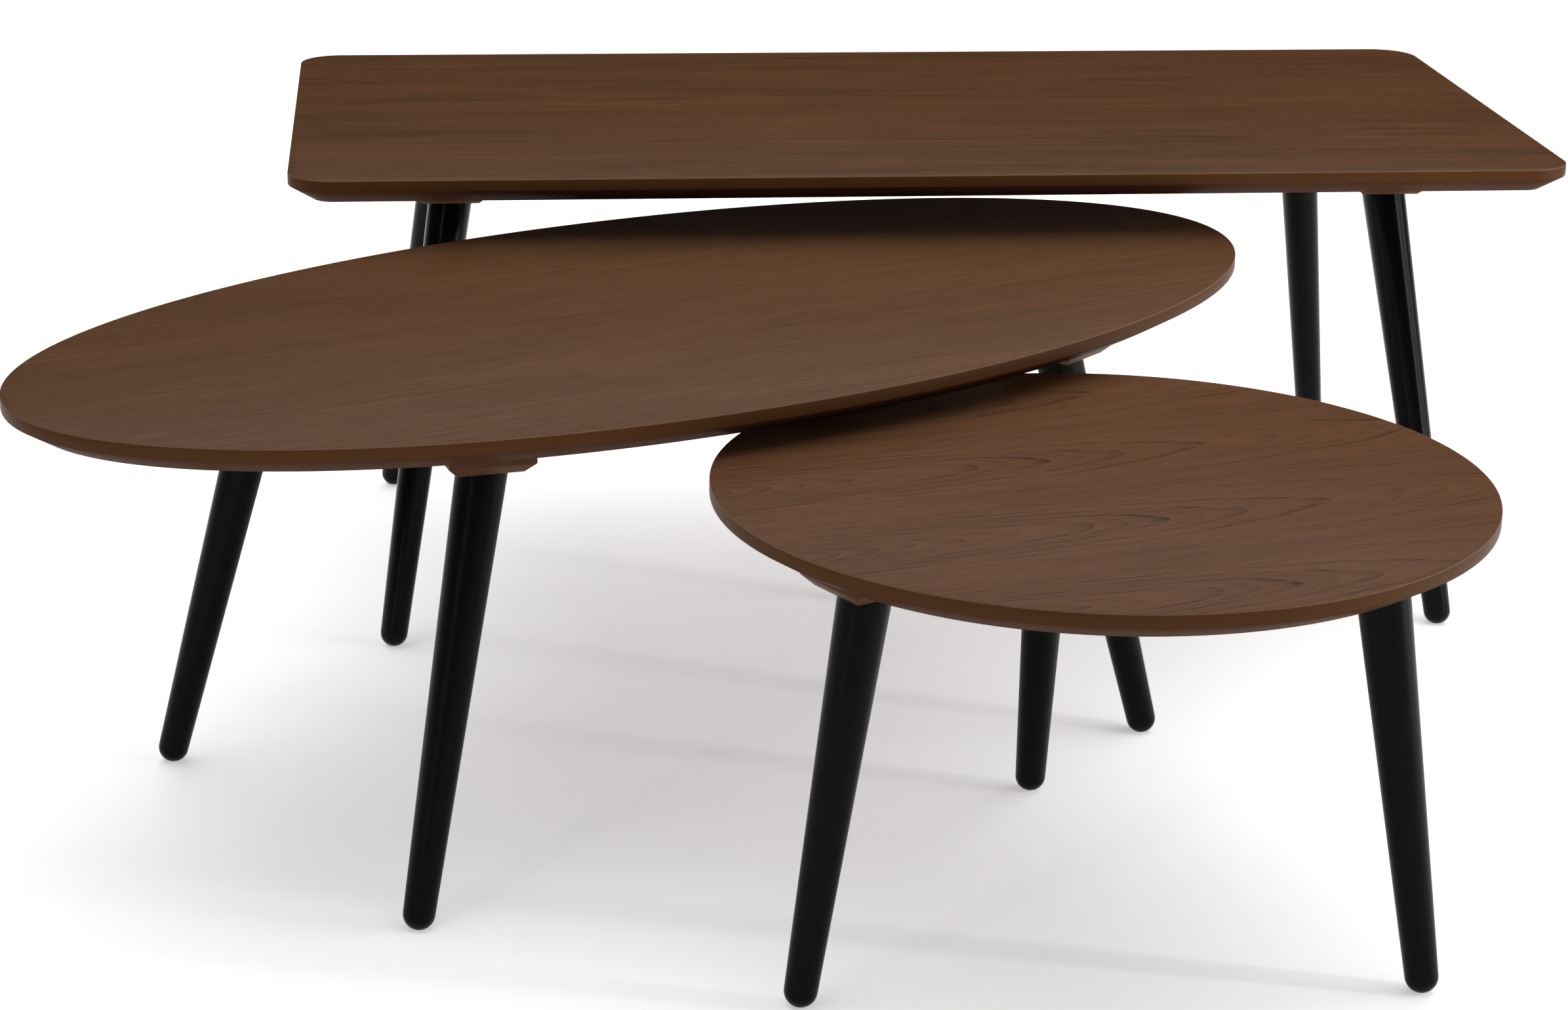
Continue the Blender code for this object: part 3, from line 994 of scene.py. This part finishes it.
@dataclass
class Table:
    """One table: its board and what stands under it."""

    label: str
    board: Board
    veneer: WalnutVeneer
    turn: float
    block_turns: dict[str, float]
    block: MountingBlock = field(default_factory=MountingBlock)
    leg: TaperedLeg = field(default_factory=TaperedLeg)
    screw: WoodScrew = field(default_factory=WoodScrew)
    screw_turn: float = 0.5
    screw_turn_step: float = 0.9
    lacquer: str = "satin_lacquer"

    def build(self, shared: dict[str, bpy.types.Material]) -> None:
        """Model and dress the whole table.

        Args:
            shared: The finishes that all the tables share, by name.
        """
        body = f"{self.label}_table"
        finishes = [shared[part] for part in ("edge", "underside", "arris")]
        self.board.build(self.veneer.build(), finishes, self.turn)
        for place, turn in self.block_turns.items():
            self.block.build(
                f"{self.label}_block_{place}", f"{self.label}_mount_{place}", body, shared["hardwood"], turn,
                *self.leg.ends(f"{self.label}_leg_{place}"),
            )
            self._screws(place, turn, body, shared["steel"])
            self.leg.build(
                f"{self.label}_leg_{place}", f"{self.label}_turned_leg_{place}", body, shared[self.lacquer]
            )
            for kind, finish in (("bolt", "steel"), ("insert", "yellow")):
                self._dress(f"{self.label}_{kind}_{place}", shared[finish])

    def _screws(self, place: str, turn: float, body: str, finish: bpy.types.Material) -> None:
        """Set the four screws of one block into their holes.

        Args:
            place: The block's place.
            turn: How far the block is turned about Z.
            body: The body that carries it.
            finish: The screws' material.
        """
        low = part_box(f"{self.label}_block_{place}")[0]
        centre = middle(f"{self.label}_block_{place}")
        form = bmesh.new()
        for index, (x, y) in enumerate(self.block.places()):
            screw = self.screw.form()
            driven = Matrix.Rotation(self.screw_turn + self.screw_turn_step * index, 4, "Z")
            spot = Matrix.Translation((x, y, 0.0))
            bmesh.ops.transform(screw, matrix=spot @ driven, verts=screw.verts)
            add_form(form, screw)
        stand = Matrix.Translation((centre.x, centre.y, low.z + self.screw.sunk))
        bmesh.ops.transform(form, matrix=stand @ Matrix.Rotation(turn, 4, "Z"), verts=form.verts)
        finish_piece(f"{self.label}_screws_{place}", form, [finish], body)

    @staticmethod
    def _dress(node: str, finish: bpy.types.Material) -> None:
        """Give a solid that stays its finish."""
        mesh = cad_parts[node].data
        mesh.materials.clear()
        mesh.materials.append(finish)


# ---------------------------------------------------------------- studio


@dataclass(frozen=True)
class SoftLight:
    """A rectangular soft light that faces a point."""

    name: str
    place: tuple[float, float, float]
    aim: tuple[float, float, float]
    width: float
    height: float
    watts: float

    def hang(self) -> None:
        """Put the light into the scene."""
        light = bpy.data.lights.new(self.name, "AREA")
        light.shape = "RECTANGLE"
        light.size = self.width
        light.size_y = self.height
        light.energy = self.watts
        item = bpy.data.objects.new(self.name, light)
        item.location = self.place
        direction = Vector(self.aim) - Vector(self.place)
        item.rotation_mode = "QUATERNION"
        item.rotation_quaternion = direction.to_track_quat("-Z", "Y")
        bpy.context.scene.collection.objects.link(item)


@dataclass
class Studio:
    """A pale floor, an even surround, four soft lights and the camera.

    The wide light overhead does the lighting and the fill opens the shadows
    from the right; the two narrow strips draw the streaks on the black legs.
    """

    floor_size: float = 40.0
    floor_gap: float = 0.2 * MM
    floor_colour: str = "#faf9f8"
    floor_glow: float = 0.45
    floor_roughness: float = 0.9
    floor_specular: float = 0.1
    lights: tuple[SoftLight, ...] = (
        SoftLight("overhead", (0.3, 1.5, 2.6), (0.3, 1.5, 0.0), 4.4, 5.6, 118.0),
        SoftLight("right_fill", (3.6, -0.7, 0.95), (0.3, 0.0, 0.95), 1.8, 1.8, 34.0),
        SoftLight("strip_0", (-1.87, -2.38, 0.9), (0.0, 0.2, 0.9), 0.10, 1.8, 5.0),
        SoftLight("strip_1", (2.6, -1.3, 0.9), (0.0, 0.2, 0.9), 0.10, 1.8, 19.0),
    )
    surround_rise: tuple[float, float] = (0.25, 0.95)
    surround_levels: tuple[float, float] = (0.03, 0.54)
    camera_place: tuple[float, float, float] = (-0.4169, -3.2574, 1.2875)
    camera_yaw: float = math.radians(-5.704)
    camera_pitch: float = math.radians(18.07)
    camera_roll: float = math.radians(0.742)
    sensor_mm: float = 36.0
    lens_mm: float = 81.57
    shift_x: float = 0.0214
    view_distance: float = 100.0

    def build(self) -> None:
        """Set up the whole studio."""
        self._floor()
        for light in self.lights:
            light.hang()
        self._surround()
        self._camera()
        bpy.context.scene.view_settings.view_transform = "Standard"

    def _floor(self) -> None:
        """Lay the floor."""
        form = bmesh.new()
        bmesh.ops.create_grid(form, x_segments=1, y_segments=1, size=self.floor_size / 2)
        mesh = bpy.data.meshes.new("floor")
        form.to_mesh(mesh)
        form.free()
        material, _, shader = start_material("floor_paint")
        shader.inputs["Base Color"].default_value = linear(self.floor_colour)
        shader.inputs["Roughness"].default_value = self.floor_roughness
        shader.inputs["Specular IOR Level"].default_value = self.floor_specular
        shader.inputs["Emission Color"].default_value = WHITE
        shader.inputs["Emission Strength"].default_value = self.floor_glow
        mesh.materials.append(material)
        floor = bpy.data.objects.new("floor", mesh)
        floor.location.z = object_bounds()[0][2] - self.floor_gap
        bpy.context.scene.collection.objects.link(floor)
        floor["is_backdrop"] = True

    def _surround(self) -> None:
        """Set the even surround, which grows brighter with height."""
        world = bpy.data.worlds.new("surround")
        world.use_nodes = True
        tree = world.node_tree
        way = add_node(tree, "ShaderNodeTexCoord").outputs["Generated"]
        rise = add_node(tree, "ShaderNodeSeparateXYZ", None, {0: way}).outputs["Z"]
        level = remap(tree, rise, self.surround_rise, self.surround_levels, smooth=True)
        back = tree.nodes["Background"]
        back.inputs["Color"].default_value = WHITE
        tree.links.new(level, back.inputs["Strength"])
        bpy.context.scene.world = world

    def _camera(self) -> None:
        """Stand the camera up."""
        lens = bpy.data.cameras.new("camera")
        lens.sensor_width = self.sensor_mm
        lens.lens = self.lens_mm
        lens.shift_x = self.shift_x
        lens.clip_end = self.view_distance
        camera = bpy.data.objects.new("camera", lens)
        camera.matrix_world = (
            Matrix.Translation(self.camera_place)
            @ Matrix.Rotation(self.camera_yaw, 4, "Z")
            @ Matrix.Rotation(math.pi / 2 - self.camera_pitch, 4, "X")
            @ Matrix.Rotation(self.camera_roll, 4, "Z")
        )
        bpy.context.scene.collection.objects.link(camera)
        bpy.context.scene.camera = camera


# ---------------------------------------------------------------- build


def shared_finishes() -> dict[str, bpy.types.Material]:
    """Return the finishes that the three tables share."""
    return {
        "edge": StainedEdge("stained_edge", "#56371d", "#482c18").build(),
        # The underside's colour is set darker than the edge's, as painted shade on the downward bevel.
        "underside": StainedEdge("stained_underside_painted_shade", "#4d3223", "#3f2719", ior=1.03).build(),
        # The arris colour is lighter than the edge's: partly rubbed stain, partly a painted highlight along
        # the upper rim.
        "arris": StainedEdge("worn_arris_and_painted_highlight", "#795c47", "#664936").build(),
        "hardwood": StainedHardwood("stained_hardwood", "#5a3c26", "#402918").build(),
        "satin_lacquer": BlackLacquer("black_satin_lacquer").build(),
        "gloss_lacquer": BlackLacquer("black_semi_gloss_lacquer", roughness=0.20, ior=1.18).build(),
        "steel": PlatedSteel("zinc_plated_steel", "#c4c6c8", "#9a9da0").build(),
        "yellow": PlatedSteel("yellow_zinc_plate", "#c9b068", "#a88c48").build(),
    }


def corner_turns(turn: float, skew: float) -> dict[str, float]:
    """Return how far the four blocks of a long table are turned.

    Args:
        turn: The table's own turn.
        skew: How far each block turns more, to follow the rim.

    Returns:
        The turn of each block by its place.
    """
    return {
        "front_left": turn - skew, "front_right": turn + skew,
        "rear_left": turn + skew, "rear_right": turn - skew,
    }


def main() -> None:
    """Build the three tables and the studio."""
    logging.basicConfig(level=logging.INFO, format="%(message)s")
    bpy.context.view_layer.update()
    shared = shared_finishes()
    oval_turn = math.radians(30.1)
    oval_skew = math.radians(17.0)
    first_leg = math.radians(209.0)
    third = math.tau / 3
    tables = [
        Table(
            "rectangular", RectangularBoard("rectangular"),
            WalnutVeneer("walnut_veneer_straight", Figure.QUARTER_CUT, middle("rectangular_top"), 0.0,
                         "#674429", "#332010", line_spacing=0.013, line_depth=-0.45,
                         streak_depth=0.8, seed=1.0),
            0.0, corner_turns(0.0, 0.0), lacquer="gloss_lacquer",
        ),
        Table(
            "oval", EllipticalBoard("oval", length=1.2996, width=0.6498),
            WalnutVeneer("walnut_veneer_fine", Figure.QUARTER_CUT, middle("oval_top"),
                         oval_turn - math.radians(5.0), "#6f4c32", "#392617", line_spacing=0.009,
                         line_depth=-0.30, streak_depth=0.45, cloud_depth=0.4, seed=7.0),
            oval_turn, corner_turns(oval_turn, oval_skew),
        ),
        Table(
            "round", EllipticalBoard("round", length=0.650, width=0.650),
            WalnutVeneer("walnut_veneer_arched", Figure.FLAT_CUT, middle("round_top"), math.radians(15.0),
                         "#6c4932", "#382517", leaf_offset=0.031, line_spacing=0.0036,
                         line_depth=0.95, streak_depth=0.55, cloud_depth=0.5, seed=3.0),
            0.0, {"left": first_leg, "right": first_leg + third, "rear": first_leg + 2 * third},
        ),
    ]
    for table in tables:
        table.build(shared)
    Studio().build()


if __name__ == "__main__":
    main()
